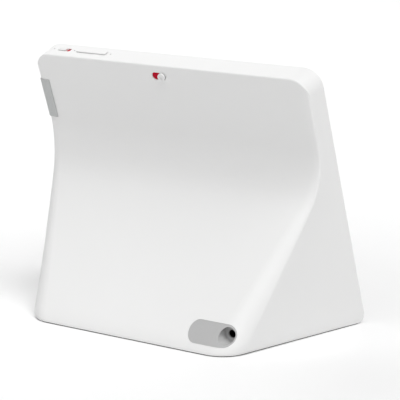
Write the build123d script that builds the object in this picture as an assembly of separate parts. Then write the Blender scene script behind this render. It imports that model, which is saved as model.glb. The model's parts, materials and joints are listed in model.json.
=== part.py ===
"""Smart display on its own wedge stand: a leaning head whose rear shell flows into a deep foot.

World frame: +Z up from the surface it stands on, +Y from the screen side to the rear, +X across.
The origin is on that surface, under the middle of the bounding box. Most parts are drawn upright
in a face frame (x, depth behind the face, height up the face) and leaned back with lean().
"""
import math
import os

from build123d import *

# Outer form
WIDTH = 180.0            # front face, side to side
DEPTH = 102.4            # front bottom edge to rear bottom edge, before they are rounded
FACE = 154.9             # length of the leaning front face
TILT = 19.5              # lean of the face, degrees from vertical
SLAB = 13.6              # thickness of the head, square to the face
CORNER = 10.0            # front outline's corner radius
FOOT = 0.5               # rubber pad under the shell
WALL = 2.0
FLOOR = 3.0
BEND_REACH = 15.5        # how softly the slab's back turns into the flared stand
BEND_HEIGHT = 88.0       # height of that bend above the foot
FLARE = 0.645            # rearward run of the stand's back per unit of height
FLARE_SAG = 1.5          # hollow of the flared back
CREASE_FOOT = (69.7, 38.0)    # half-width and y of the side crease at the foot
CREASE_RUN = (0.2265, 0.505)  # the crease's widening and forward run per unit of height
CREASE_TOP = 89.1        # half-width of the slab at its back edge
CREASE_DROP = 0.8        # the crease is this far in front of the slab's flat back
CREASE_REACH = 3.2
CREASE_EDGE = 0.9        # how far the crease's own small rounding runs to each side
ROUND_SLAB = 4.4         # width of the rounding between crease and back, at the slab
ROUND_FOOT = 15.6        # and at the foot
EDGE = 6.5               # height of the bottom edge's rounding
INNER_EDGE = 3.5         # and of the cavity's
EDGE_DRAW = 0.25         # how far that rounding draws in, per unit of its height
FRONT_DRAW = 3.2         # the front draws in this many times as far
TOP_ROLL = 0.9           # radius of the head's upper rear edge
SECTION_STEP = 6.0
REAR_INSET = 1.12        # rear walls lean, so their inset along Y is this much larger

# Controls in the top face
KEY_DEPTH = 6.2          # behind the face
ROCKER_X, ROCKER_LENGTH, ROCKER_WIDTH = 53.0, 20.2, 3.2
ROCKER_PROUD = 0.6
ROCKER_PIVOT = 151.6     # height of its pin up the face
MUTE_SLOT = (68.0, 76.2)
MUTE_WIDTH = 2.8
MUTE_KNOB = 5.4
MUTE_PROUD = 0.5
MIC_X = (40.2, 79.5)
MIC_HOLE = 0.45
STATUS_X, STATUS_HOLE = 65.3, 0.5
MUTE_TRAVEL = 2.4
MUTE_PLATE = 4.4         # width of the plate under the cap
MUTE_WALL = 0.6          # thickness left of the shell over that plate
MUTE_REACH = (65.5, 78.2)    # where the plate slides
KEY_BOARD_TOP = 148.6
SLIP = 0.2               # gap around a sliding or rocking key

# Camera and its shutter
CAMERA_X, CAMERA_HEIGHT = 0.8, 144.4
SHUTTER_X, SHUTTER_HEIGHT = 4.1, 148.45
SHUTTER_LENGTH, SHUTTER_WIDTH = 9.2, 4.4
SHUTTER_TRAVEL = 4.4
SHUTTER_WALL = 0.7       # thickness left of the shell round the slot
SHUTTER_PLATE = 0.9      # thickness of the sliding plate and flag
KNOB_X = 1.95            # knob's place with the shutter closed
KNOB_RADIUS, KNOB_PROUD = 2.2, 1.3
KNOB_STEM = 1.9          # radius of its stem
KNOB_PLATE = 5.4         # its plate's reach to one side
SHUTTER_PLATE_TALL = 7.4
FLAG_LENGTH = 9.0

# Power socket
PORT_X, PORT_Z = -61.6, 10.4
PORT_NEAR_X = -61.0      # centre of the recess's end round the pocket
PORT_FAR_X = -44.0       # and of its shallow end
PORT_RADIUS = 5.5
POCKET_RADIUS = 4.3
JACK_FACE = 38.0         # y of the pocket's floor
PLUG_FLOOR = 0.9         # thickness of that floor
JACK_BORE, JACK_PIN, JACK_DEEP = 2.1, 0.825, 8.5
PIN_SUNK = 3.0           # the pin's tip lies this far inside the bore
LINER_SUNK, LINER_THICK = 0.15, 1.5

# Front stack, as depths behind the face and sizes
GLASS_WIDTH, GLASS_TALL, GLASS_BOTTOM = 168.0, 102.0, 46.0
GLASS_FRONT, GLASS_BACK = 0.2, 1.3
BEZEL_BACK = 3.0
RECESS = 1.4
PANEL_WIDTH, PANEL_TALL, PANEL_BOTTOM, PANEL_BACK = 160.0, 90.0, 50.2, 3.8
TRAY_FRONT, TRAY_BACK = 3.9, 5.1
FRAME_FRONT, FRAME_BACK = 5.3, 6.8
FRAME_SCREW_X = 84.4
SHELL_POSTS = (112.0, 130.0)
BEZEL_POSTS = (56.0, 96.0)

# Loudspeakers behind the fabric band
BAND_HEIGHT = 22.9
GRILLE_WIDTH, GRILLE_TALL = 150.0, 26.0
DRIVER_X, DRIVER_RADIUS = 42.0, 14.5
BAFFLE_FRONT, BAFFLE_BACK = 3.6, 5.4
SPEAKER_BOX_BACK = 26.0

# Main board
BOARD_FRONT, BOARD_BACK = 14.0, 15.6
BOARD_WIDTH, BOARD_TALL, BOARD_BOTTOM = 118.0, 38.0, 45.0
ANTENNA_X = 76.5

# Base
BASE_Y = 12.0
BASE_WIDTH, BASE_DEEP, BASE_THICK = 92.0, 54.0, 1.5
BASE_RING = 9.0          # width of the plate's screwed rim
BALLAST_THICK = 3.6
SOLE_INSET = 0.4

SNUG = 0.05              # gap left between seated pieces
SCREW = 0.9              # shank radius of the small screws
SCREW_HEAD, HEAD_THICK = 1.8, 1.0

tan_tilt = math.tan(math.radians(TILT))
cos_tilt = math.cos(math.radians(TILT))
sin_tilt = math.sin(math.radians(TILT))
parts = {}


# ---------------------------------------------------------------- helpers
def lean(shape):
    """Face frame to world frame."""
    return Pos(0, -DEPTH / 2, FOOT) * Rot(-TILT, 0, 0) * shape


def upright(width, tall, front, back, x=0.0, bottom=0.0, radius=0.0):
    """Plate in the face frame, between two depths, with rounded corners if asked for."""
    outline = RectangleRounded(width, tall, radius) if radius else Rectangle(width, tall)
    return Pos(x, back, bottom + tall / 2) * Rot(90, 0, 0) * extrude(outline, back - front)


def rod(radius, front, back, x, height):
    """Round bar in the face frame, along its depth."""
    return Pos(x, (front + back) / 2, height) * Rot(90, 0, 0) * Cylinder(radius, back - front)


def turned(points, x, height):
    """Solid of revolution about a line along the depth, from (radius, depth) points."""
    profile = make_face(Polyline(*[(r, 0, depth) for r, depth in points], close=True))
    return Pos(x, 0, height) * Rot(-90, 0, 0) * revolve(profile, Axis.Z)


def slab_between(low, high):
    """Wide world block between two heights."""
    return Pos(0, 0, (low + high) / 2) * Box(300, 300, high - low)


def join(pieces):
    whole = pieces[0]
    for piece in pieces[1:]:
        whole += piece
    return whole


# ---------------------------------------------------------------- outer form
def soft_max(a, b, reach):
    """The larger of two lines, with their corner rounded over `reach`."""
    return max(a, b) + max(reach - abs(a - b), 0) ** 2 / (4 * reach)


def soft_min(a, b, reach):
    return -soft_max(-a, -b, reach)


def front_y(up):
    return -DEPTH / 2 + up * tan_tilt


def back_y(up):
    """Rear surface on the centre line, at a height above the foot."""
    share = up / BEND_HEIGHT
    flare = DEPTH / 2 - FLARE * up - 4 * FLARE_SAG * share * (1 - share)
    return soft_max(front_y(up) + SLAB / cos_tilt, flare, BEND_REACH)


def crease(up):
    """Half-width and y of the line where the side meets the rounded back."""
    slab_y = front_y(up) + SLAB / cos_tilt - CREASE_DROP
    y = soft_max(slab_y, CREASE_FOOT[1] - CREASE_RUN[1] * up, BEND_REACH)
    x = soft_min(CREASE_TOP, CREASE_FOOT[0] + CREASE_RUN[0] * up, CREASE_REACH)
    return x, y


def section(up, inset=0.0, ahead=0.0, pull=0.0):
    """Horizontal outline: front, sides, roundings and rear. `ahead` runs it out past the face."""
    side_x, side_y = crease(up)
    side_x -= inset + pull
    side_y -= inset * REAR_INSET + pull / 2
    rear = back_y(up) - inset * REAR_INSET - pull
    front = front_y(up) + FRONT_DRAW * pull
    half = WIDTH / 2 - inset - pull
    slope = (half - side_x) / (side_y - front)
    width = soft_max(ROUND_SLAB, ROUND_FOOT - (ROUND_FOOT - ROUND_SLAB) * up / BEND_HEIGHT, 2.0)
    drop = rear - side_y
    radius = (width ** 2 + drop ** 2) / (2 * drop)
    flat_x = side_x - width
    middle = math.atan2(width, radius - drop) / 2
    z = FOOT + up

    def on_arc(angle):
        return flat_x + radius * math.sin(angle), rear - radius * (1 - math.cos(angle)), z

    back_off = CREASE_EDGE / math.hypot(slope, 1)
    arc_end = 2 * middle - CREASE_EDGE / radius
    right = [
        (half + slope * ahead, front - ahead, z),
        (side_x + slope * back_off, side_y - back_off, z),
        (side_x, side_y, z),
        on_arc(arc_end),
        on_arc(arc_end / 2),
        on_arc(0.0),
    ]
    left = [(-x, y, height) for x, y, height in right]
    return Face(Wire([
        Line(left[0], right[0]),
        Line(right[0], right[1]),
        Bezier(*right[1:4]),
        ThreePointArc(*right[3:]),
        Line(right[5], left[5]),
        ThreePointArc(*left[:2:-1]),
        Bezier(*left[3:0:-1]),
        Line(left[1], left[0]),
    ]))


def corner_waste(side, inset):
    """What lies outside one rounded top corner of the head, drafted like the side it joins."""
    radius = CORNER - inset
    bite = inset + 0.04
    edge_height = FACE - bite
    draft = (WIDTH / 2 - CREASE_TOP) / SLAB
    far = 30.0
    ends = []
    for depth in (-12.0, 40.0):
        edge_x = WIDTH / 2 - bite - draft * depth
        centre_x, centre_height = edge_x - radius, edge_height - radius
        half_way = radius * math.sqrt(0.5)
        arc = [
            (side * edge_x, depth, centre_height),
            (side * (centre_x + half_way), depth, centre_height + half_way),
            (side * centre_x, depth, edge_height),
        ]
        outside = [
            (side * centre_x, depth, edge_height + far),
            (side * (edge_x + far), depth, edge_height + far),
            (side * (edge_x + far), depth, centre_height),
        ]
        ends.append(Face(Wire([
            ThreePointArc(*arc),
            Line(arc[2], outside[0]),
            Line(outside[0], outside[1]),
            Line(outside[1], outside[2]),
            Line(outside[2], arc[0]),
        ])))
    return lean(loft(ends))


def form(inset=0.0, ahead=0.0, low=-6.0):
    """Smooth body through evenly spaced sections, before its corners are rounded."""
    count = math.ceil((FACE + 10 - low) / SECTION_STEP)
    return loft([section(low + SECTION_STEP * i, inset, ahead) for i in range(count)])


def body(inset=0.0, ahead=0.0, floor=0.0, edge=0.0):
    """The outer form, or a smaller copy of it, from a floor height upward."""
    shape = form(inset, ahead, floor + edge - SECTION_STEP) - slab_between(-80, FOOT + floor + edge)
    if edge:
        steps = [math.radians(18 * i) for i in range(6)]
        rounded = []
        for angle in steps:
            up, pull = edge * (1 - math.cos(angle)), EDGE_DRAW * edge * (1 - math.sin(angle))
            rounded.append(section(floor + up, inset, ahead, pull))
        shape += loft(rounded)
    shape -= lean(Pos(0, 0, FACE - inset + 40) * Box(260, 260, 80))
    for side in (1, -1):
        shape -= corner_waste(side, inset)
    return shape


def top_edge_waste():
    """What the rounding of the head's upper rear edge takes away."""
    keep = upright(2 * CREASE_TOP + 0.1, 60, SLAB - 8, SLAB, bottom=FACE - 59.95, radius=CORNER)
    keep = fillet(keep.faces().sort_by(Axis.Y)[-1].edges(), TOP_ROLL)
    return lean(upright(220, 16, SLAB - TOP_ROLL - 0.2, SLAB + 6, bottom=FACE - 14) - keep)


def shell_and_bezel():
    outer = body(edge=EDGE) - top_edge_waste()
    cavity = body(WALL, ahead=6.0, floor=FLOOR, edge=INNER_EDGE)
    shell = outer - cavity

    # floor opening and the rebate that the base plate lies in
    opening = Pos(0, BASE_Y, FOOT) * extrude(RectangleRounded(
        BASE_WIDTH - 2 * BASE_RING, BASE_DEEP - 2 * BASE_RING, 4), 2 * FLOOR)
    rebate = Pos(0, BASE_Y, FOOT - 1) * extrude(
        RectangleRounded(BASE_WIDTH + 2 * SLIP, BASE_DEEP + 2 * SLIP, 6), 1 + BASE_THICK + SNUG)
    shell -= opening + rebate
    for x, y in base_screw_places():
        shell += Pos(x, y, FOOT + FLOOR + 2.5) * Cylinder(3.4, 6)
        shell -= Pos(x, y, FOOT + 4) * Cylinder(SCREW + SNUG, 12)

    # posts for the frame's screws
    for height in SHELL_POSTS:
        for side in (1, -1):
            x = side * FRAME_SCREW_X
            shell += lean(rod(2.3, FRAME_BACK, SLAB - WALL + 0.6, x, height))
            shell -= lean(rod(SCREW + SNUG, FRAME_BACK - 1, SLAB - WALL - 0.6, x, height))

    # slots and holes of the top face
    low, deep = FACE - WALL - 1, 2 * WALL
    cuts = [
        (ROCKER_X, ROCKER_LENGTH + 2 * SLIP, ROCKER_WIDTH + 2 * SLIP),
        (sum(MUTE_SLOT) / 2, MUTE_SLOT[1] - MUTE_SLOT[0], MUTE_WIDTH + 2 * SLIP),
    ]
    for x, length, width in cuts:
        shell -= lean(Pos(x, KEY_DEPTH, low) * extrude(RectangleRounded(length, width, 0.8), deep))
    for x, radius in [(x, MIC_HOLE) for x in MIC_X] + [(STATUS_X, STATUS_HOLE)]:
        shell -= lean(Pos(x, KEY_DEPTH, FACE - 1) * Cylinder(radius, 8))

    shell -= lean(Pos(sum(MUTE_REACH) / 2, KEY_DEPTH, low) * extrude(
        Rectangle(MUTE_REACH[1] - MUTE_REACH[0], MUTE_PLATE + 2 * SLIP), FACE - MUTE_WALL - low))

    # shutter slot in the slab's back
    slot = extrude(SlotOverall(SHUTTER_LENGTH, SHUTTER_WIDTH), 8)
    shell -= lean(Pos(SHUTTER_X, SLAB + 3, SHUTTER_HEIGHT) * Rot(90, 0, 0) * slot)
    left = KNOB_X - KNOB_PLATE - 0.3
    right = KNOB_X + KNOB_RADIUS + FLAG_LENGTH + SHUTTER_TRAVEL + 0.6
    relief_tall = SHUTTER_PLATE_TALL + 2 * SLIP
    shell -= lean(upright(
        right - left, relief_tall, SLAB - 4, SLAB - SHUTTER_WALL,
        x=(left + right) / 2, bottom=SHUTTER_HEIGHT - relief_tall / 2))

    # opening for the power socket's liner
    shell -= pill(PORT_RADIUS + SNUG, JACK_FACE - 5, DEPTH)

    bezel_space = body(WALL + 0.12, ahead=6.0, floor=FLOOR + 0.12, edge=INNER_EDGE)
    bezel = outer & bezel_space & lean(upright(200, 200, -1, BEZEL_BACK, bottom=-20))
    return outer, shell, bezel


def pill(radius, near, far):
    """Round-ended bar along Y on the power socket's line."""
    length = PORT_FAR_X - PORT_NEAR_X
    outline = SlotCenterToCenter(length, 2 * radius)
    return Pos((PORT_NEAR_X + PORT_FAR_X) / 2, far, PORT_Z) * Rot(90, 0, 0) * extrude(outline, far - near)


def base_screw_places():
    x = BASE_WIDTH / 2 - BASE_RING / 2
    y = BASE_DEEP / 2 - BASE_RING / 2
    return [(sx * x, BASE_Y + sy * y) for sx in (1, -1) for sy in (1, -1)]


# ---------------------------------------------------------------- front stack
def finish_bezel(bezel):
    gap = 0.15
    bezel -= lean(upright(
        GLASS_WIDTH + 2 * gap, GLASS_TALL + 2 * gap, -2, RECESS, bottom=GLASS_BOTTOM - gap, radius=5))
    bezel -= lean(upright(PANEL_WIDTH + 0.6, PANEL_TALL + 0.6, 0, 8, bottom=PANEL_BOTTOM - 0.3))
    band_bottom = BAND_HEIGHT - GRILLE_TALL / 2
    bezel -= lean(upright(GRILLE_WIDTH, GRILLE_TALL, -2, 8, bottom=band_bottom, radius=12))
    bezel -= lean(upright(GRILLE_WIDTH + 4, GRILLE_TALL + 4, -2, RECESS, bottom=band_bottom - 2, radius=14))
    bezel -= lean(rod(2.9, -1, 6, CAMERA_X, CAMERA_HEIGHT))
    bezel -= lean(rod(1.0, -1, 6, CAMERA_X + 12, CAMERA_HEIGHT))
    for height in BEZEL_POSTS:
        for side in (1, -1):
            bezel += lean(rod(2.2, BEZEL_BACK - 0.5, FRAME_FRONT, side * FRAME_SCREW_X, height))
            bezel -= lean(rod(SCREW + SNUG, RECESS + 0.8, FRAME_FRONT + 1, side * FRAME_SCREW_X, height))
    return bezel


def front_stack():
    parts["cover_glass"] = lean(
        upright(GLASS_WIDTH, GLASS_TALL, GLASS_FRONT, GLASS_BACK, bottom=GLASS_BOTTOM, radius=4.8))
    parts["display_panel"] = lean(upright(PANEL_WIDTH, PANEL_TALL, RECESS, PANEL_BACK, bottom=PANEL_BOTTOM))
    tray = upright(PANEL_WIDTH + 3, PANEL_TALL + 2, TRAY_FRONT, TRAY_BACK, bottom=PANEL_BOTTOM - 1, radius=1)
    tray -= upright(PANEL_WIDTH, PANEL_TALL - 1, TRAY_FRONT - 1, TRAY_BACK - 0.6, bottom=PANEL_BOTTOM + 0.5)
    parts["backlight_tray"] = lean(tray)

    frame = upright(172, 95, FRAME_FRONT, FRAME_BACK, bottom=44, radius=4)
    for x in (-55, 0, 55):
        frame -= upright(44, 36, FRAME_FRONT - 1, FRAME_BACK + 1, x=x, bottom=92, radius=4)
    frame -= upright(26, 8, FRAME_FRONT - 1, FRAME_BACK + 1, x=-20, bottom=84, radius=2)
    for x, height in board_screw_places():
        frame += rod(2.4, FRAME_BACK - 0.5, BOARD_FRONT, x, height)
        frame -= rod(SCREW + SNUG, FRAME_BACK + 1, BOARD_FRONT + 1, x, height)
    screws = []
    for x in (FRAME_SCREW_X, -FRAME_SCREW_X):
        for height in SHELL_POSTS + BEZEL_POSTS:
            frame -= rod(SCREW + SNUG, FRAME_FRONT - 1, FRAME_BACK + 1, x, height)
        for height in SHELL_POSTS:
            head = rod(SCREW_HEAD, FRAME_FRONT - HEAD_THICK, FRAME_FRONT, x, height)
            screws.append(head + rod(SCREW, FRAME_FRONT - 0.5, SLAB - WALL - 1, x, height))
        for height in BEZEL_POSTS:
            head = rod(SCREW_HEAD, FRAME_BACK, FRAME_BACK + HEAD_THICK, x, height)
            screws.append(head + rod(SCREW, RECESS + 1, FRAME_BACK + 0.5, x, height))
    parts["mid_frame"] = lean(frame)
    parts["frame_screws"] = lean(Compound(children=[s.solid() for s in screws]))


def board_screw_places():
    margin = 5
    x = BOARD_WIDTH / 2 - margin
    return [(side * x, BOARD_BOTTOM + up) for side in (1, -1) for up in (margin, BOARD_TALL - margin)]


# ---------------------------------------------------------------- speaker band
def speaker_band():
    band_bottom = BAND_HEIGHT - GRILLE_TALL / 2
    plate = upright(
        GRILLE_WIDTH - 2 * SLIP, GRILLE_TALL - 2 * SLIP, RECESS + 0.1, BEZEL_BACK - 0.2,
        bottom=band_bottom + SLIP, radius=12)
    pitch = 6.0
    columns = int((GRILLE_WIDTH - 24) / pitch)
    holes = []
    for i in range(columns + 1):
        for row in (-1, 0, 1):
            holes.append(rod(2.0, 0, 5, (i - columns / 2) * pitch, BAND_HEIGHT + row * 6.4))
    parts["grille_plate"] = lean(plate - holes)
    parts["speaker_fabric"] = lean(upright(
        GRILLE_WIDTH + 3.6, GRILLE_TALL + 3.6, 0.3, RECESS, bottom=band_bottom - 1.8, radius=13.8))
    gasket = upright(156, 32, BEZEL_BACK + SNUG, BAFFLE_FRONT - SNUG, bottom=BAND_HEIGHT - 16, radius=15)
    gasket -= upright(151, 27, 0, 8, bottom=BAND_HEIGHT - 13.5, radius=13)
    parts["speaker_gasket"] = lean(gasket)

    baffle = upright(158, 34, BAFFLE_FRONT, BAFFLE_BACK, bottom=BAND_HEIGHT - 17, radius=3)
    baffle -= [rod(12.6, 0, 8, side * DRIVER_X, BAND_HEIGHT) for side in (1, -1)]
    parts["speaker_baffle"] = lean(baffle)
    gap = 0.3
    tub_front = BAFFLE_BACK + SNUG
    tub = lean(upright(158, 34, tub_front, SPEAKER_BOX_BACK, bottom=BAND_HEIGHT - 17, radius=3))
    tub -= slab_between(-40, FOOT + FLOOR + gap)
    inside = lean(upright(154.4, 30.4, 0, SPEAKER_BOX_BACK - 1.8, bottom=BAND_HEIGHT - 15.2, radius=2))
    inside -= slab_between(-40, FOOT + FLOOR + gap + 1.8)
    parts["speaker_box"] = tub - inside

    rolls = []
    for side, name in ((1, "left"), (-1, "right")):
        x = side * DRIVER_X
        front = tub_front + SNUG
        basket = turned([
            (12.6, front), (DRIVER_RADIUS, front), (DRIVER_RADIUS, front + 1), (13.5, front + 1),
            (9.0, 13.0), (4.4, 13.0), (4.4, 12.2), (8.4, 12.2), (12.6, front + 1),
        ], x, BAND_HEIGHT)
        magnet = turned([
            (0, 13.05), (3.3, 13.05), (3.3, 17.5), (4.4, 17.5), (4.4, 13.05), (9.0, 13.05),
            (9.0, 19.0), (0, 19.0),
        ], x, BAND_HEIGHT)
        cone = turned([
            (10.9, 6.2), (11.1, 6.5), (4.1, 10.8), (4.1, 15.2), (3.7, 15.2), (3.7, 10.6),
        ], x, BAND_HEIGHT)
        cap = turned([
            (0, 8.9), (2.2, 9.35), (3.55, 10.3), (3.3, 10.45), (2.0, 9.65), (0, 9.2),
        ], x, BAND_HEIGHT)
        roll = [(11.35, 5.9)]
        for i in range(9):
            angle = math.pi * i / 8
            roll.append((11.95 - 0.45 * math.cos(angle), 5.9 - 0.75 * math.sin(angle)))
        roll += [(12.55, 5.9), (12.55, 6.2), (12.1, 6.2)]
        for i in range(1, 8):
            angle = math.pi * i / 8
            roll.append((11.95 + 0.2 * math.cos(angle), 6.2 - 0.75 * math.sin(angle)))
        roll += [(11.75, 6.2), (11.35, 6.2)]
        surround = turned(roll, x, BAND_HEIGHT)
        parts[name + "_speaker_basket"] = lean(basket)
        parts[name + "_speaker_magnet"] = lean(magnet)
        parts[name + "_speaker_cone"] = lean(cone)
        parts[name + "_dust_cap"] = lean(cap)
        rolls.append(surround.solid())
    parts["speaker_surrounds"] = lean(Compound(children=rolls))


# ---------------------------------------------------------------- camera and shutter
def camera_and_shutter():
    board = upright(15, 7.4, 5.4, 6.2, x=CAMERA_X, bottom=139.9)
    parts["camera_board"] = lean(board)
    barrel = rod(2.4, 3.55, 5.35, CAMERA_X, CAMERA_HEIGHT) - rod(1.6, 3.4, 4.4, CAMERA_X, CAMERA_HEIGHT)
    parts["camera_barrel"] = lean(barrel)
    lens = turned([(0, 3.6), (0.9, 3.75), (1.55, 4.2), (1.55, 4.35), (0, 4.35)], CAMERA_X, CAMERA_HEIGHT)
    parts["camera_lens"] = lean(lens)
    parts["light_sensor"] = lean(upright(3, 2.4, 3.1, 4.0, x=CAMERA_X + 12, bottom=CAMERA_HEIGHT - 1.2))

    # sliding shutter: thumb knob, red flag behind the slot, blade in front of the lens
    plate_back = SLAB - SHUTTER_WALL - 0.1
    plate_front = plate_back - SHUTTER_PLATE
    knob = rod(KNOB_STEM, plate_front + 0.2, SLAB + 0.4, KNOB_X, SHUTTER_HEIGHT)
    knob += rod(KNOB_RADIUS, SLAB + 0.15, SLAB + KNOB_PROUD, KNOB_X, SHUTTER_HEIGHT)
    knob -= rod(1.1, SLAB + KNOB_PROUD - 0.35, SLAB + 5, KNOB_X, SHUTTER_HEIGHT)
    seam = KNOB_X + KNOB_STEM + 0.1
    plate_left = KNOB_X - KNOB_PLATE
    low, tall = SHUTTER_HEIGHT - SHUTTER_PLATE_TALL / 2, SHUTTER_PLATE_TALL
    knob += upright(seam - plate_left, tall, plate_front, plate_back, x=(seam + plate_left) / 2, bottom=low)
    parts["shutter_knob"] = lean(knob)
    flag_x = seam + SNUG + FLAG_LENGTH / 2
    parts["shutter_flag"] = lean(upright(FLAG_LENGTH, tall, plate_front, plate_back, x=flag_x, bottom=low))
    blade = upright(5.4, 9.4, 3.08, 3.4, x=CAMERA_X, bottom=141.2)
    arm = upright(5.4, 0.6, 3.08, plate_front - SNUG, x=CAMERA_X, bottom=150.0)
    tail = upright(5.4, 5.0, plate_front - 0.55, plate_front - SNUG, x=CAMERA_X, bottom=145.6)
    parts["shutter_blade"] = lean(blade + arm + tail)
    wall = SLAB - WALL * REAR_INSET * cos_tilt
    parts["shutter_rail"] = lean(upright(
        30, 0.8, wall - 1.0, wall - SNUG, x=SHUTTER_X + 2, bottom=SHUTTER_HEIGHT - 4.8))


# ---------------------------------------------------------------- keys in the top face
def top_keys():
    board_bottom = KEY_BOARD_TOP - 1.0
    board = Pos(60, KEY_DEPTH + 0.3, (board_bottom + KEY_BOARD_TOP) / 2) * Box(46, 6.6, 1.0)
    parts["button_board"] = lean(board)

    inner_top = FACE - WALL
    under = ROCKER_PIVOT - 0.7
    rocker = Pos(ROCKER_X, KEY_DEPTH, under) * extrude(
        RectangleRounded(ROCKER_LENGTH, ROCKER_WIDTH, 0.7), FACE + ROCKER_PROUD - under)
    rocker -= Pos(ROCKER_X, KEY_DEPTH, under + 0.1) * Box(12.0, 5, 2.2)
    rocker += Pos(ROCKER_X, KEY_DEPTH, ROCKER_PIVOT + 0.3) * Box(3.4, ROCKER_WIDTH - 0.8, 2.4)
    rocker -= rod(0.65, 0, 12, ROCKER_X, ROCKER_PIVOT)
    parts["volume_rocker"] = lean(rocker)
    parts["rocker_pin"] = lean(rod(0.6, KEY_DEPTH - 2.6, KEY_DEPTH + 2.6, ROCKER_X, ROCKER_PIVOT))
    bracket = []
    ear_top = ROCKER_PIVOT + 0.9
    for end in (-1, 1):
        ear = Box(3.2, 0.7, ear_top - KEY_BOARD_TOP)
        ear = Pos(ROCKER_X, KEY_DEPTH + end * 2.15, (KEY_BOARD_TOP + ear_top) / 2) * ear
        bracket.append(ear - rod(0.62, 0, 12, ROCKER_X, ROCKER_PIVOT))
    web = Pos(ROCKER_X, KEY_DEPTH, KEY_BOARD_TOP + 0.3) * Box(3.2, 5.0, 0.6)
    parts["rocker_bracket"] = lean(join([web] + bracket))
    domes = []
    for end in (1, -1):
        x = ROCKER_X + end * 8.4
        can = Pos(x, KEY_DEPTH, KEY_BOARD_TOP + 0.75) * Box(3.2, 3.0, 1.5)
        stem = Pos(x, KEY_DEPTH, KEY_BOARD_TOP + 1.72) * Cylinder(0.7, 0.44)
        domes.append(can + stem)
    parts["volume_switches"] = lean(Compound(children=[d.solid() for d in domes]))

    # mute slider: white cap, red flag beside it, switch below
    middle = MUTE_SLOT[1] - 0.1 - MUTE_KNOB / 2
    cap = Pos(middle, KEY_DEPTH, inner_top - 0.3) * extrude(
        RectangleRounded(MUTE_KNOB, MUTE_WIDTH, 0.7), WALL + MUTE_PROUD + 0.3)
    for i in (-1, 0, 1):
        cap -= Pos(middle + i * 1.3, KEY_DEPTH, FACE + MUTE_PROUD) * Box(0.4, 2.0, 0.4)
    plate_right = MUTE_SLOT[1] + 1.6
    plate_left = middle - MUTE_KNOB / 2
    plate_height = FACE - MUTE_WALL - SLIP / 2 - 0.45
    carrier = Box(plate_right - plate_left, MUTE_PLATE, 0.9)
    carrier = Pos((plate_left + plate_right) / 2, KEY_DEPTH, plate_height) * carrier
    prong = Pos(middle, KEY_DEPTH, inner_top - 1.6) * Box(0.8, 0.9, 3.2)
    parts["mute_knob"] = lean(cap + carrier + prong)
    flag_left = MUTE_SLOT[0] + 0.25
    flag_right = plate_left - SNUG
    flag = Box(flag_right - flag_left, MUTE_PLATE, 0.9)
    parts["mute_flag"] = lean(Pos((flag_left + flag_right) / 2, KEY_DEPTH, plate_height) * flag)
    centre = middle - MUTE_TRAVEL / 2
    switch = Pos(centre, KEY_DEPTH, KEY_BOARD_TOP + 0.9) * Box(7.4, 3.0, 1.8)
    switch -= Pos(centre, KEY_DEPTH, KEY_BOARD_TOP + 1.8) * Box(MUTE_TRAVEL + 1.6, 1.5, 2.4)
    parts["mute_switch"] = lean(switch)
    cans = []
    boots = []
    for x in MIC_X:
        cans.append(Pos(x, KEY_DEPTH, KEY_BOARD_TOP + 0.5) * (Box(3.0, 3.6, 1.0) - Cylinder(0.3, 2)))
        bottom = KEY_BOARD_TOP + 1.0 + SNUG
        tall = inner_top - SLIP - bottom
        boots.append(Pos(x, KEY_DEPTH, bottom + tall / 2) * (Cylinder(1.05, tall) - Cylinder(0.5, 10)))
    parts["microphones"] = lean(Compound(children=[c.solid() for c in cans]))
    parts["microphone_boots"] = lean(Compound(children=[b.solid() for b in boots]))
    parts["status_light_pipe"] = lean(Pos(STATUS_X, KEY_DEPTH, (KEY_BOARD_TOP + FACE) / 2) * Cylinder(
        STATUS_HOLE - 2 * SNUG, FACE - KEY_BOARD_TOP - 0.3))


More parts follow.
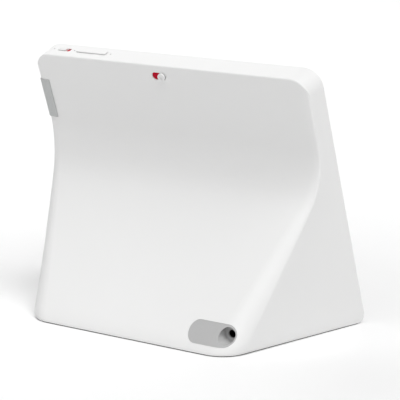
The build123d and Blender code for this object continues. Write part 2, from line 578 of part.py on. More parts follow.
# ---------------------------------------------------------------- main board
def main_board():
    board = upright(BOARD_WIDTH, BOARD_TALL, BOARD_FRONT, BOARD_BACK, bottom=BOARD_BOTTOM, radius=2)
    screws = []
    for x, height in board_screw_places():
        board -= rod(SCREW + SNUG, 0, 20, x, height)
        head = rod(SCREW_HEAD, BOARD_BACK, BOARD_BACK + HEAD_THICK, x, height)
        screws.append(head + rod(SCREW, FRAME_BACK + 2, BOARD_BACK + 0.5, x, height))
    parts["main_board"] = lean(board)
    parts["board_screws"] = lean(Compound(children=[s.solid() for s in screws]))

    def block(width, tall, thick, x, height, gap=SNUG):
        near = BOARD_BACK + gap
        return upright(width, tall, near, near + thick, x=x, bottom=height - tall / 2)

    middle = BOARD_BOTTOM + BOARD_TALL / 2
    can = block(34, 28, 2.6, 6, middle)
    can -= upright(32.8, 26.8, BOARD_BACK - 1, BOARD_BACK + 2.1, x=6, bottom=middle - 13.4)
    parts["shield_can"] = lean(can)
    parts["processor"] = lean(block(13, 13, 1.2, 0, middle))
    parts["memory_chip"] = lean(block(9, 11, 1.0, 15, middle))
    parts["heat_spreader"] = lean(upright(
        46, 30, BOARD_BACK + 2.9, BOARD_BACK + 3.9, x=6, bottom=middle - 15, radius=2))
    parts["wireless_module"] = lean(block(15, 12, 2.0, -36, middle + 5))
    coils = [block(5, 5, 3.0, 36 + 7 * i, middle - 8) for i in range(2)]
    coils += [rod(2.2, BOARD_BACK + SNUG, BOARD_BACK + 5.5, 34 + 6 * i, middle + 8) for i in range(3)]
    parts["power_stage"] = lean(Compound(children=[c.solid() for c in coils]))
    plugs = [block(width, 4, 3.0, x, BOARD_BOTTOM + 4.5) for width, x in ((9, -38), (6, -22), (6, 34))]
    parts["board_connectors"] = lean(Compound(children=[p.solid() for p in plugs]))
    strip = join([
        upright(18, 0.3, 4.3, 7.4, x=-12, bottom=42.4),
        upright(18, 6.5, 4.3, 4.6, x=-12, bottom=42.4),
        upright(18, 8, 7.1, 7.4, x=-12, bottom=42.4),
        upright(18, 0.3, 7.1, BOARD_FRONT - SNUG, x=-12, bottom=50.1),
    ])
    parts["display_cable"] = lean(strip)
    strips = [upright(8, 36, 8.0, 8.4, x=side * ANTENNA_X, bottom=88, radius=1.5) for side in (1, -1)]
    parts["antennas"] = lean(Compound(children=[s.solid() for s in strips]))


# ---------------------------------------------------------------- power socket and base
def power_socket(outer):
    def along_y(radius, near, far):
        return Pos(PORT_X, (near + far) / 2, PORT_Z) * Rot(90, 0, 0) * Cylinder(radius, far - near)

    near_end = Pos(PORT_NEAR_X, DEPTH / 2, PORT_Z) * Rot(90, 0, 0) * Cylinder(PORT_RADIUS, DEPTH)
    liner = pill(PORT_RADIUS, JACK_FACE - PLUG_FLOOR, DEPTH) & (Pos(0, -LINER_SUNK, 0) * outer)
    liner -= (Pos(0, -LINER_SUNK - LINER_THICK, 0) * outer) - near_end
    liner -= along_y(POCKET_RADIUS, JACK_FACE, DEPTH)
    liner -= along_y(JACK_BORE + 0.1, JACK_FACE - 10, JACK_FACE + 5)
    parts["port_liner"] = liner

    front = JACK_FACE - PLUG_FLOOR - SNUG
    housing = Pos(PORT_X, front - 6, PORT_Z) * Box(6.6, 12, 7.2)
    housing -= along_y(JACK_BORE, front - JACK_DEEP, front + 1)
    housing -= along_y(JACK_PIN + 0.02, front - JACK_DEEP - 1.5, front)
    parts["power_jack"] = housing
    parts["jack_pin"] = along_y(JACK_PIN, front - JACK_DEEP - 1.4, front - PIN_SUNK)
    parts["jack_board"] = Pos(PORT_X + 1.6, front - 12.9, 11.0) * Box(13, 1.6, 12.8)


def base():
    plate = Pos(0, BASE_Y, FOOT) * extrude(RectangleRounded(BASE_WIDTH, BASE_DEEP, 6), BASE_THICK)
    screws = []
    for x, y in base_screw_places():
        plate -= Pos(x, y, FOOT) * Cylinder(SCREW + SNUG, 8)
        plate -= Pos(x, y, FOOT) * Cylinder(SCREW_HEAD + SNUG, 1.6)
        head = Pos(x, y, FOOT + 0.4) * Cylinder(SCREW_HEAD, 0.7)
        screws.append(head + Pos(x, y, FOOT + 4) * Cylinder(SCREW, 7))
    parts["base_plate"] = plate
    parts["base_screws"] = Compound(children=[s.solid() for s in screws])
    room = (BASE_WIDTH - 2 * BASE_RING - 1, BASE_DEEP - 2 * BASE_RING - 1)
    ballast = extrude(RectangleRounded(*room, 3), BALLAST_THICK)
    parts["ballast_plate"] = Pos(0, BASE_Y, FOOT + BASE_THICK + SNUG) * ballast
    sole = extrude(section(0, inset=SOLE_INSET, pull=EDGE_DRAW * EDGE), -FOOT)
    parts["rubber_foot"] = sole


def name_tag():
    """Blank soft label folded round the head's upright edge."""
    width, tall, bottom = 6.7, 23.9, 115.1
    thick = 0.4
    band = Pos(CREASE_TOP + 3 - width, SLAB - 2, bottom + tall / 2) * Box(2 * width + 6, 12, tall)
    band = lean(Pos(width, 0, 0) * band)
    return (form(-thick) - form(-SNUG)) & band


outer, parts["rear_shell"], bezel = shell_and_bezel()
parts["front_bezel"] = finish_bezel(bezel)
front_stack()
speaker_band()
camera_and_shutter()
top_keys()
main_board()
power_socket(outer)
base()
parts["name_tag"] = name_tag()

os.makedirs("parts", exist_ok=True)
for name, shape in parts.items():
    export_step(shape, "parts/" + name + ".step")
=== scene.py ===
"""Looks of a white smart display on its own wedge stand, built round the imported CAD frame."""
import json
import math

import bmesh
import bpy
from mathutils import Matrix, Vector
from mathutils.bvhtree import BVHTree


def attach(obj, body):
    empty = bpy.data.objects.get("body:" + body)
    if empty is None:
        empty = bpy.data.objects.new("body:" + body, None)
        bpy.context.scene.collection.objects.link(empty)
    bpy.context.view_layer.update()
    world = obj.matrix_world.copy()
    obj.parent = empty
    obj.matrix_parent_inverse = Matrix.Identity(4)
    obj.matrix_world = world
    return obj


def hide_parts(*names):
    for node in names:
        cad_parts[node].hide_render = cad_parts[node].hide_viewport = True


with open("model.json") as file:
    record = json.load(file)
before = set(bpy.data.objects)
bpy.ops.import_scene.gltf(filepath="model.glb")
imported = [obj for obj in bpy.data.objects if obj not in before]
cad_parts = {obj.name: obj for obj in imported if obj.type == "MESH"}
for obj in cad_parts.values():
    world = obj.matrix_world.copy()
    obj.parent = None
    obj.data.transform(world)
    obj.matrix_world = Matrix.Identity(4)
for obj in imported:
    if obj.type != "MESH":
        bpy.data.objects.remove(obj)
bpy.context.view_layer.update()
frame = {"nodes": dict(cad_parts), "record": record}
NODES = frame["nodes"]

MM = 0.001
FACE_LEAN = math.radians(19.5)                 # the face's lean from vertical
UP_FACE = Vector((0, math.sin(FACE_LEAN), math.cos(FACE_LEAN)))
INWARD = Vector((0, math.cos(FACE_LEAN), -math.sin(FACE_LEAN)))
FACE_FOOT = Vector((0, -51.2, 0.5)) * MM       # where the face would meet the rubber foot

CAMERA_TURN = 34.776                           # degrees from straight behind towards -X
CAMERA_RISE = 12.484                           # degrees above level
CAMERA_DISTANCE = 1.01604                      # metres to the aim
CAMERA_LENS = 166.46                           # mm
CAMERA_AIM = Vector((0, -6.48, 64.7)) * MM
AIM_IN_PICTURE = (-0.008404, -0.000818)        # where the aim lies, as tangents right and up


def from_face(x, depth, height):
    """Point from millimetres across, behind the face and up it."""
    return FACE_FOOT + Vector((x, 0, 0)) * MM + INWARD * depth * MM + UP_FACE * height * MM


def seen_from(bearing, height):
    """Direction towards a place turned by bearing degrees from behind the object, and raised."""
    turn, rise = math.radians(bearing), math.radians(height)
    return Vector((-math.sin(turn) * math.cos(rise), math.cos(turn) * math.cos(rise), math.sin(rise)))


# ---------------------------------------------------------------- shader helpers
class Graph:
    """A material's node tree, with short calls for the nodes that the materials share."""

    def __init__(self, name):
        self.material = bpy.data.materials.new(name)
        self.material.use_nodes = True
        self.tree = self.material.node_tree
        self.tree.nodes.clear()
        self.out = self.add("ShaderNodeOutputMaterial")
        self.shader = self.add("ShaderNodeBsdfPrincipled")
        self.link(self.shader, "BSDF", self.out, "Surface")
        self.place = self.add("ShaderNodeTexCoord").outputs["Object"]

    def add(self, kind, **settings):
        node = self.tree.nodes.new(kind)
        for key, value in settings.items():
            setattr(node, key, value)
        return node

    def link(self, source, output, target, entry):
        self.tree.links.new(source.outputs[output], target.inputs[entry])

    def set(self, **values):
        for key, value in values.items():
            self.shader.inputs[key.replace("_", " ")].default_value = value

    def noise(self, scale, detail=2.0, roughness=0.5, place=None):
        node = self.add("ShaderNodeTexNoise")
        node.inputs["Scale"].default_value = scale
        node.inputs["Detail"].default_value = detail
        node.inputs["Roughness"].default_value = roughness
        self.tree.links.new(place or self.place, node.inputs["Vector"])
        return node.outputs["Fac"]

    def cells(self, scale, feature="F1"):
        node = self.add("ShaderNodeTexVoronoi", feature=feature)
        node.inputs["Scale"].default_value = scale
        self.tree.links.new(self.place, node.inputs["Vector"])
        return node.outputs["Distance"]

    def math(self, operation, a, b=None, clamp=False):
        node = self.add("ShaderNodeMath", operation=operation, use_clamp=clamp)
        for entry, value in zip(node.inputs, (a, b)):
            if value is None:
                continue
            if isinstance(value, (int, float)):
                entry.default_value = value
            else:
                self.tree.links.new(value, entry)
        return node.outputs[0]

    def span(self, value, low, high, to_low, to_high):
        node = self.add("ShaderNodeMapRange")
        limits = {"From Min": low, "From Max": high, "To Min": to_low, "To Max": to_high}
        for key, number in limits.items():
            node.inputs[key].default_value = number
        self.tree.links.new(value, node.inputs["Value"])
        return node.outputs["Result"]

    def mix(self, share, a, b):
        """Colour from a to b as share goes from 0 to 1."""
        node = self.add("ShaderNodeMix", data_type="RGBA")
        self.tree.links.new(share, node.inputs[0])
        for entry, value in ((node.inputs[6], a), (node.inputs[7], b)):
            if isinstance(value, (tuple, list)):
                entry.default_value = (*value, 1.0) if len(value) == 3 else value
            else:
                self.tree.links.new(value, entry)
        return node.outputs[2]

    def split(self, turn):
        """X, Y and Z of the object's own coordinates, after a turn about X."""
        mapping = self.add("ShaderNodeMapping")
        mapping.inputs["Rotation"].default_value = (turn, 0, 0)
        self.tree.links.new(self.place, mapping.inputs["Vector"])
        parts = self.add("ShaderNodeSeparateXYZ")
        self.link(mapping, "Vector", parts, "Vector")
        return parts.outputs

    def bump(self, height, distance, strength=1.0):
        node = self.add("ShaderNodeBump")
        node.inputs["Distance"].default_value = distance
        node.inputs["Strength"].default_value = strength
        self.tree.links.new(height, node.inputs["Height"])
        self.link(node, "Normal", self.shader, "Normal")

    def colour(self, value):
        self.tree.links.new(value, self.shader.inputs["Base Color"])

    def rough(self, value):
        self.tree.links.new(value, self.shader.inputs["Roughness"])


def tinted(colour, factor):
    """The same colour, lighter or darker."""
    return tuple(min(1.0, c * factor) for c in colour)


# ---------------------------------------------------------------- materials
def moulded_plastic(name, colour, roughness=0.45, grain=0.25, depth=0.004,
                    variation=0.02, coat=0.0, shine=0.5):
    """Injection-moulded plastic: spark-eroded grain, with faint patches in tone and gloss."""
    g = Graph(name)
    patches = g.noise(28.0, 3.0)
    g.colour(g.mix(patches, tinted(colour, 1 - variation), tinted(colour, 1 + variation)))
    fine = g.noise(1000.0 / grain, 3.0, 0.6)
    blend = g.math("ADD", g.math("MULTIPLY", patches, 0.5), g.math("MULTIPLY", fine, 0.5))
    g.rough(g.span(blend, 0.25, 0.75, roughness - 0.04, roughness + 0.05))
    g.bump(fine, depth * MM)
    g.set(IOR=1.46, Specular_IOR_Level=shine, Coat_Weight=coat, Coat_Roughness=0.2)
    return g.material


def metal(name, colour, roughness=0.3, brushed_along=None, depth=0.002):
    """Sheet or turned metal, with a brushed grain where asked for."""
    g = Graph(name)
    mapping = g.add("ShaderNodeMapping")
    stretch = [2500.0, 2500.0, 2500.0]
    if brushed_along is not None:
        stretch[brushed_along] = 40.0
    mapping.inputs["Scale"].default_value = stretch
    g.tree.links.new(g.place, mapping.inputs["Vector"])
    grain = g.noise(1.0, 4.0, 0.6, mapping.outputs["Vector"])
    cloud = g.noise(90.0, 3.0)
    g.colour(g.mix(cloud, tinted(colour, 0.9), tinted(colour, 1.06)))
    g.rough(g.span(g.math("ADD", grain, cloud), 0.6, 1.4, roughness - 0.08, roughness + 0.12))
    g.bump(grain, depth * MM)
    g.set(Metallic=1.0)
    return g.material


def rubber(name, colour, roughness=0.75):
    """Matt rubber with a little dust on it."""
    g = Graph(name)
    dust = g.noise(160.0, 4.0)
    fine = g.noise(5200.0, 2.0)
    g.colour(g.mix(dust, tinted(colour, 0.85), tinted(colour, 1.3)))
    g.rough(g.span(fine, 0.3, 0.7, roughness - 0.05, roughness + 0.08))
    g.bump(fine, 0.01 * MM)
    g.set(IOR=1.5)
    return g.material


def woven(name, colour, thread=0.3, depth=0.03, shade=0.75, roughness=0.85):
    """Plain weave laid along the face, with painted shade in its hollows (darker by the factor shade), a
    painted highlight on its raised threads, and uneven yarn.
    """
    g = Graph(name)
    across, _, up = g.split(FACE_LEAN)
    wave = math.pi / (thread * MM)
    warp = g.math("SINE", g.math("MULTIPLY", across, wave))
    weft = g.math("SINE", g.math("MULTIPLY", up, wave))
    over = g.math("MULTIPLY", warp, weft)
    ribs = g.math("ADD", g.math("ABSOLUTE", warp), g.math("ABSOLUTE", weft))
    height = g.math("ADD", g.math("MULTIPLY", over, 0.5), g.math("MULTIPLY", ribs, 0.5))
    yarn = g.noise(2600.0, 3.0, 0.7)
    tone = g.noise(420.0, 2.0)
    blend = g.math("ADD", g.math("MULTIPLY", height, 0.4), g.math("MULTIPLY", yarn, 0.35), clamp=True)
    # painted shade in the weave's hollows and painted highlight on its raised threads, mixed with the
    # yarn's own uneven tone
    lit = g.mix(blend, tinted(colour, shade), tinted(colour, 1.25))
    g.colour(g.mix(g.math("MULTIPLY", tone, 0.5), lit, tinted(colour, 0.95)))
    g.rough(g.span(yarn, 0.3, 0.7, roughness - 0.06, roughness + 0.08))
    g.bump(g.math("ADD", height, g.math("MULTIPLY", yarn, 0.3)), depth * MM)
    g.set(Sheen_Weight=0.25, Sheen_Roughness=0.5)
    return g.material


PICTURE_WIDE, PICTURE_TALL = 154.2, 85.9          # lit area of the display, mm
PICTURE_BOTTOM = 52.2                            # its lower edge, up the face


def screen_glass(name):
    """Polished cover glass over a black printed border, with the dark display showing inside it."""
    g = Graph(name)
    across, _, up = g.split(FACE_LEAN)
    foot = FACE_FOOT.dot(UP_FACE)
    low = PICTURE_BOTTOM * MM + foot
    high = low + PICTURE_TALL * MM
    inside_x = g.math("LESS_THAN", g.math("ABSOLUTE", across), PICTURE_WIDE / 2 * MM)
    inside_z = g.math("MULTIPLY", g.math("GREATER_THAN", up, low), g.math("LESS_THAN", up, high))
    active = g.math("MULTIPLY", inside_x, inside_z)
    cloud = g.noise(30.0, 2.0)
    border = g.mix(cloud, (0.0045, 0.0045, 0.005), (0.006, 0.006, 0.0065))
    panel = g.mix(cloud, (0.011, 0.012, 0.016), (0.013, 0.014, 0.018))
    g.colour(g.mix(active, border, panel))
    g.rough(g.span(g.noise(700.0, 4.0), 0.35, 0.65, 0.035, 0.07))
    g.bump(g.noise(24.0, 2.0), 0.01 * MM, 0.4)
    g.set(IOR=1.52, Coat_Weight=0.6, Coat_Roughness=0.02)
    return g.material


def lens_coating(name):
    """Coated lens element: deep glass, with the coating's violet reflection painted into its colour at
    glancing angles.
    """
    g = Graph(name)
    rim = g.add("ShaderNodeLayerWeight")
    rim.inputs["Blend"].default_value = 0.35
    cloud = g.noise(900.0, 2.0)
    deep = g.mix(cloud, (0.004, 0.004, 0.009), (0.006, 0.006, 0.013))
    # painted reflection: the colour turns violet towards glancing angles
    g.colour(g.mix(rim.outputs["Facing"], deep, (0.05, 0.03, 0.11)))
    g.rough(g.span(cloud, 0.3, 0.7, 0.02, 0.05))
    g.set(IOR=1.6, Coat_Weight=1.0, Coat_Roughness=0.02)
    return g.material


def circuit_board(name):
    """Green solder mask over copper tracks."""
    g = Graph(name)
    tracks = g.cells(420.0, "DISTANCE_TO_EDGE")
    line = g.math("LESS_THAN", tracks, 0.09)
    cloud = g.noise(60.0, 2.0)
    mask = g.mix(cloud, (0.006, 0.075, 0.03), (0.008, 0.095, 0.04))
    g.colour(g.mix(line, mask, (0.02, 0.16, 0.06)))
    g.rough(g.span(cloud, 0.3, 0.7, 0.28, 0.4))
    g.bump(line, 0.03 * MM)
    g.set(IOR=1.5, Coat_Weight=0.3, Coat_Roughness=0.15)
    return g.material


def foam(name, colour):
    """Open foam, with painted shade darkening its pores."""
    g = Graph(name)
    pores = g.cells(1800.0)
    # painted shade: the colour is darkened in the pores
    g.colour(g.mix(pores, tinted(colour, 0.4), tinted(colour, 1.3)))
    g.rough(g.span(pores, 0.0, 0.8, 0.85, 0.98))
    g.bump(pores, 0.15 * MM)
    return g.material


WHITE = (0.80, 0.80, 0.797)
MATERIALS = {
    "white_plastic": moulded_plastic("white_plastic", WHITE, 0.42, variation=0.006, depth=0.0025),
    "dark_plastic": moulded_plastic("dark_plastic", (0.012, 0.012, 0.013), 0.5, variation=0.15),
    "frame_plastic": moulded_plastic("frame_plastic", (0.03, 0.03, 0.033), 0.5, variation=0.12),
    "grey_plastic": moulded_plastic("grey_plastic", (0.45, 0.45, 0.45), 0.55, variation=0.02, shine=0.3),
    "black_plastic": moulded_plastic("black_plastic", (0.006, 0.006, 0.0065), 0.4, variation=0.2),
    "red_plastic": moulded_plastic("red_plastic", (0.52, 0.001, 0.022), 0.5, variation=0.04, shine=0.1),
    "clear_plastic": moulded_plastic("clear_plastic", (0.42, 0.44, 0.45), 0.15, variation=0.02, coat=0.5),
    "connector_plastic": moulded_plastic("connector_plastic", (0.6, 0.56, 0.45), 0.45),
    "screen_glass": screen_glass("screen_glass"),
    "lens_glass": lens_coating("lens_glass"),
    "panel": moulded_plastic("panel", (0.008, 0.008, 0.01), 0.2, variation=0.1, coat=0.4),
    "tray_metal": metal("tray_metal", (0.62, 0.63, 0.65), 0.32, brushed_along=0),
    "aluminium": metal("aluminium", (0.66, 0.66, 0.68), 0.35, brushed_along=0),
    "shield_metal": metal("shield_metal", (0.55, 0.54, 0.52), 0.38),
    "steel": metal("steel", (0.42, 0.42, 0.43), 0.34),
    "brass": metal("brass", (0.78, 0.62, 0.36), 0.25, brushed_along=1),
    "basket_metal": moulded_plastic("basket_metal", (0.012, 0.012, 0.013), 0.35, grain=0.6, depth=0.01),
    "magnet": moulded_plastic("magnet", (0.02, 0.02, 0.022), 0.6, grain=0.5, depth=0.02),
    "cone_paper": moulded_plastic(
        "cone_paper", (0.012, 0.012, 0.012), 0.8, grain=0.7, depth=0.05, variation=0.25),
    "rubber": rubber("rubber", (0.018, 0.018, 0.019)),
    "foam": foam("foam", (0.02, 0.02, 0.021)),
    "fabric": woven("fabric", (0.34, 0.345, 0.35), thread=1.2, shade=0.35),
    "tag_fabric": woven("tag_fabric", (0.54, 0.552, 0.55), thread=0.2),
    "circuit_board": circuit_board("circuit_board"),
    "chip": moulded_plastic("chip", (0.012, 0.012, 0.013), 0.55, grain=0.3, depth=0.006),
    "flex": moulded_plastic("flex", (0.30, 0.11, 0.02), 0.3, variation=0.06, coat=0.3),
}
SLOT_OF = {row["node"]: row["material_slot"] for row in frame["record"]["subparts"]}


def finish_piece(piece, slot, body="housing"):
    """The material that slot names, and the body, for a new piece."""
    piece.data.materials.clear()
    piece.data.materials.append(MATERIALS[slot])
    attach(piece, body)


def new_piece(name, shape):
    """Object from a bmesh, linked to the scene."""
    data = bpy.data.meshes.new(name)
    shape.to_mesh(data)
    shape.free()
    piece = bpy.data.objects.new(name, data)
    bpy.context.scene.collection.objects.link(piece)
    return piece


def smooth(piece):
    """Smooth shading over the whole piece."""
    for face in piece.data.polygons:
        face.use_smooth = True


def dress_nodes():
    """Each CAD node gets the material that its record slot names."""
    for node, piece in NODES.items():
        material = MATERIALS[SLOT_OF[node]]
        if piece.material_slots:
            for entry in piece.material_slots:
                entry.material = material
        else:
            piece.data.materials.append(material)


# ---------------------------------------------------------------- soft pieces
def evenly(start, end, pitch):
    """Evenly spaced values from start to end, about a pitch apart."""
    count = max(1, round((end - start) / pitch))
    return [start + (end - start) * i / count for i in range(count + 1)]


def edge_spaced(half, pitch, rim):
    """Values from -half to half, evenly spaced but closer together in the rim at both ends."""
    ends = [half - rim * share for share in (0.6, 0.3, 0.1, 0.0)]
    return [-v for v in reversed(ends)] + evenly(rim - half, half - rim, pitch) + ends


def grid_faces(shape, rows):
    """Quads between neighbouring rows of vertices."""
    for low, high in zip(rows, rows[1:]):
        for i in range(len(low) - 1):
            shape.faces.new((low[i], low[i + 1], high[i + 1], high[i]))


# Speaker cloth, mm: half sizes a little inside the recess, and its corners' radius
CLOTH_WIDE, CLOTH_TALL, CLOTH_CORNER = 76.8, 14.8, 13.8
CLOTH_MIDDLE = 22.9                # height of its middle line up the face
CLOTH_FRONT, CLOTH_BACK = 0.35, 1.3    # depths behind the face
CLOTH_RIM = 1.1                    # width of the edge that rolls back into the recess
CLOTH_CELL, CLOTH_RELIEF = 1.2, 0.28   # pitch and height of the woven cells
CLOTH_CROWN = 0.1                  # how far its middle stands forward
CLOTH_PITCH = 0.3                  # of the mesh


def cloth_depth(x, up):
    """Depth of the cloth behind the face, at a place across and up from its own middle."""
    past_x = abs(x) - (CLOTH_WIDE - CLOTH_CORNER)
    past_up = abs(up) - (CLOTH_TALL - CLOTH_CORNER)
    outward = math.hypot(past_x, past_up) if min(past_x, past_up) > 0 else max(past_x, past_up)
    flatness = min(1.0, max(0.0, (CLOTH_CORNER - outward) / CLOTH_RIM))
    roll = (CLOTH_BACK - CLOTH_FRONT) * (1 - math.sqrt(1 - (1 - flatness) ** 2))
    # counted from where the material's weave starts, so that the cells and the weave meet
    lift = CLOTH_MIDDLE + FACE_FOOT.dot(UP_FACE) / MM
    warp = math.sin(math.pi / CLOTH_CELL * x)
    weft = math.sin(math.pi / CLOTH_CELL * (up + lift))
    cells = CLOTH_RELIEF * (warp * weft + abs(warp) + abs(weft)) / 2 * flatness
    crown = CLOTH_CROWN * (1 - (x / CLOTH_WIDE) ** 2) * (1 - (up / CLOTH_TALL) ** 2)
    return CLOTH_FRONT + roll - cells - crown


def speaker_cloth():
    """Coarse cloth stretched over the grille, with its edge rolled into the recess."""
    shape = bmesh.new()
    rows = []
    for up in edge_spaced(CLOTH_TALL, CLOTH_PITCH, CLOTH_RIM):
        in_corner = max(0.0, abs(up) - (CLOTH_TALL - CLOTH_CORNER))
        reach = CLOTH_WIDE - CLOTH_CORNER + math.sqrt(CLOTH_CORNER ** 2 - in_corner ** 2)
        row = []
        for x in edge_spaced(CLOTH_WIDE, CLOTH_PITCH, CLOTH_RIM):
            x *= reach / CLOTH_WIDE
            row.append(shape.verts.new(from_face(x, cloth_depth(x, up), CLOTH_MIDDLE + up)))
        rows.append(row)
    grid_faces(shape, rows)
    # flat back, in strips between the ends of the same rows
    grid_faces(shape, [[row[0], row[-1]] for row in rows[1:-1]])
    shape.faces.new(rows[0] + [rows[1][-1], rows[1][0]])
    shape.faces.new(rows[-1] + [rows[-2][-1], rows[-2][0]])
    bmesh.ops.recalc_face_normals(shape, faces=shape.faces)
    piece = new_piece("speaker_cloth", shape)
    smooth(piece)
    finish_piece(piece, "fabric")
    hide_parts("speaker_fabric")


# Name tag, mm
TAG_THICK = 0.33
TAG_CUT = 0.8 * TAG_THICK          # how far its face drops at a cut edge
TAG_PITCH = 0.3                    # of the mesh
TAG_RIB, TAG_RIB_HIGH = 0.75, 0.035    # pitch and height of the tape's ribs
TAG_BEAD, TAG_BEAD_HIGH = 0.9, 0.07    # width and height of the bead where it was cut hot
TAG_SELVEDGE = 0.5                 # width of the thinner edge at its two ends
TAG_CORE = (84.5, 8.0)             # place across and behind the face that the tape bends round
TAG_REACH = 30.0                   # rays towards that place start this far out


def resampled(path, pitch):
    """The same line with its points an even distance apart."""
    lengths = [0.0]
    for a, b in zip(path, path[1:]):
        lengths.append(lengths[-1] + (b - a).length)
    points, k = [], 0
    for target in evenly(0.0, lengths[-1], pitch):
        while k < len(path) - 2 and lengths[k + 1] < target:
            k += 1
        share = (target - lengths[k]) / (lengths[k + 1] - lengths[k])
        points.append(path[k].lerp(path[k + 1], share))
    return points


def tag_line(surface, height):
    """Line of the tape's outer face round the shell's edge, at a height up the face."""
    core = from_face(*TAG_CORE, height)
    line = []
    for step in range(-45, 136):
        angle = math.radians(step)
        outward = Vector((math.cos(angle), 0, 0)) + INWARD * math.sin(angle)
        hit = surface.ray_cast(core + outward * TAG_REACH * MM, -outward, TAG_REACH * MM)[0]
        if hit is not None:
            line.append(hit)
    return line


def name_tag():
    """Plain woven tape folded round the shell's upright edge, ribbed, with a bead at its cut ends."""
    source = NODES["name_tag"].data
    surface = BVHTree.FromPolygons(
        [v.co.copy() for v in source.vertices], [tuple(f.vertices) for f in source.polygons])
    heights = [(v.co - FACE_FOOT).dot(UP_FACE) / MM for v in source.vertices]
    low, high = min(heights) + 0.1, max(heights) - 0.1
    levels = evenly(low, high, TAG_PITCH)
    lines = [tag_line(surface, height) for height in levels]
    columns = len(resampled(lines[len(lines) // 2], TAG_PITCH * MM))
    shape = bmesh.new()
    outer, inner = [], []
    for height, line in zip(levels, lines):
        total = sum((b - a).length for a, b in zip(line, line[1:]))
        points = resampled(line, total / (columns - 1))
        from_end = min(height - low, high - height)
        bead = max(0.0, 1 - from_end / TAG_BEAD)
        drop = TAG_CUT * bead ** 6
        rise = TAG_RIB_HIGH * (1 - math.cos(2 * math.pi * height / TAG_RIB)) / 2 * (1 - bead)
        rise += TAG_BEAD_HIGH * math.sin(math.pi * bead) - drop
        outer_row, inner_row = [], []
        for i, point in enumerate(points):
            along = points[min(i + 1, columns - 1)] - points[max(i - 1, 0)]
            outward = along.cross(UP_FACE).normalized()
            if outward.dot(point - from_face(*TAG_CORE, height)) < 0:
                outward = -outward
            side = min(i, columns - 1 - i) * TAG_PITCH
            edge = TAG_CUT * max(0.0, 1 - side / TAG_SELVEDGE) ** 2
            outer_row.append(shape.verts.new(point + outward * (rise - edge) * MM))
            inner_row.append(shape.verts.new(point - outward * TAG_THICK * MM))
        outer.append(outer_row)
        inner.append(inner_row)
    grid_faces(shape, outer)
    grid_faces(shape, inner)
    for end in (0, -1):
        grid_faces(shape, [outer[end], inner[end]])
        grid_faces(shape, [[row[end] for row in outer], [row[end] for row in inner]])
    bmesh.ops.recalc_face_normals(shape, faces=shape.faces)
    piece = new_piece("woven_tag", shape)
    smooth(piece)
    finish_piece(piece, "tag_fabric")
    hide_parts("name_tag")


# ---------------------------------------------------------------- windows in the front glass
WINDOW_SIDES = 64
CAMERA_PLACE = (0.8, 144.4)        # mm across and up the face
SENSOR_PLACE = (12.8, 144.4)
# outlines from the rim to the middle, as radius and depth behind the face, mm
CAMERA_WINDOW = [
    (3.0, 0.19), (2.95, 0.13), (2.25, 0.12), (2.15, 0.17),
    (1.8, 0.17), (1.72, 0.12), (1.2, 0.08), (0.6, 0.06),
]
SENSOR_WINDOW = [(1.1, 0.19), (1.05, 0.15), (0.5, 0.14)]


def window(name, outline, place):
    """Low round lens bonded to the glass, turned from its outline."""
    x, height = place
    shape = bmesh.new()
    rings = []
    for radius, depth in outline:
        ring = []
        for step in range(WINDOW_SIDES):
            angle = 2 * math.pi * step / WINDOW_SIDES
            point = from_face(x + radius * math.cos(angle), depth, height + radius * math.sin(angle))
            ring.append(shape.verts.new(point))
        rings.append(ring + ring[:1])
    grid_faces(shape, rings)
    shape.faces.new(rings[0][:-1])
    shape.faces.new(rings[-1][:-1])
    bmesh.ops.recalc_face_normals(shape, faces=shape.faces)
    piece = new_piece(name, shape)
    finish_piece(piece, "lens_glass")


# ---------------------------------------------------------------- stage
SURROUND = 0.16
# Soft suns: bearing from straight behind the object towards -X, height in degrees, strength
SUNS = {
    "key": (60, 60, 2.38),
    "overhead": (0, 60, 0.69),
    "front_fill": (-120, 30, 0.65),
}
SUN_WIDTH = math.radians(50)


FLOOR_REACH = 30.0                 # metres
FLOOR_SHADE_FADE = (0.16, 0.34)          # distances between which the painted shade round the object fades out, from grey-white to white
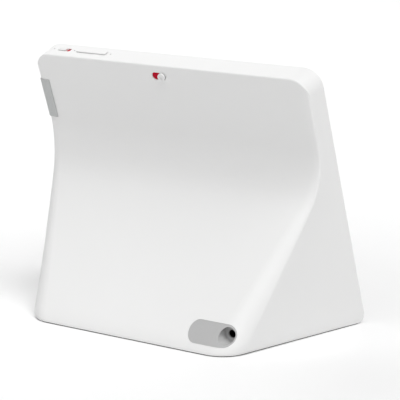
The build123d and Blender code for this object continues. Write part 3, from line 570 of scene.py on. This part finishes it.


def floor_material():
    """Pale floor with painted shade round the object, a little whiter away from it."""
    g = Graph("studio_floor")
    distance = g.add("ShaderNodeVectorMath", operation="LENGTH")
    g.tree.links.new(g.place, distance.inputs[0])
    away = g.span(distance.outputs["Value"], *FLOOR_SHADE_FADE, 0.0, 1.0)
    # painted shade: the floor near the object is greyer, with a little random tone
    shaded_near = g.mix(g.noise(3.0), (0.885, 0.885, 0.885), (0.895, 0.895, 0.895))
    g.colour(g.mix(away, shaded_near, (0.985, 0.985, 0.985)))
    g.set(Roughness=0.6)
    return g.material


def make_floor():
    """Wide level floor, lit to white."""
    shape = bmesh.new()
    turns = ((-1, -1), (1, -1), (1, 1), (-1, 1))
    shape.faces.new([shape.verts.new((x * FLOOR_REACH, y * FLOOR_REACH, 0)) for x, y in turns])
    floor = new_piece("floor", shape)
    floor.data.materials.append(floor_material())


def make_lights():
    """Weak even surround, with three broad soft suns."""
    world = bpy.data.worlds.new("studio")
    bpy.context.scene.world = world
    world.use_nodes = True
    background = world.node_tree.nodes["Background"]
    background.inputs["Color"].default_value = (1, 1, 1, 1)
    background.inputs["Strength"].default_value = SURROUND
    for name, (bearing, height, strength) in SUNS.items():
        data = bpy.data.lights.new(name, "SUN")
        data.energy = strength
        data.angle = SUN_WIDTH
        light = bpy.data.objects.new(name, data)
        bpy.context.scene.collection.objects.link(light)
        light.rotation_euler = (-seen_from(bearing, height)).to_track_quat("-Z", "Y").to_euler()
    bpy.context.scene.view_settings.view_transform = "Standard"


def make_camera():
    """Long lens from behind, to the -X side and a little above."""
    back = seen_from(CAMERA_TURN, CAMERA_RISE)
    ahead = -back
    right = ahead.cross(Vector((0, 0, 1))).normalized()
    up = right.cross(ahead)
    direction = ahead + right * AIM_IN_PICTURE[0] + up * AIM_IN_PICTURE[1]
    data = bpy.data.cameras.new("camera")
    data.lens = CAMERA_LENS
    data.sensor_width = 36.0
    camera = bpy.data.objects.new("camera", data)
    bpy.context.scene.collection.objects.link(camera)
    rotation = Matrix((right, up, back)).transposed().to_4x4()
    camera.matrix_world = Matrix.Translation(CAMERA_AIM - direction * CAMERA_DISTANCE) @ rotation
    bpy.context.scene.camera = camera


dress_nodes()
speaker_cloth()
name_tag()
window("camera_window", CAMERA_WINDOW, CAMERA_PLACE)
window("sensor_window", SENSOR_WINDOW, SENSOR_PLACE)
make_floor()
make_lights()
make_camera()
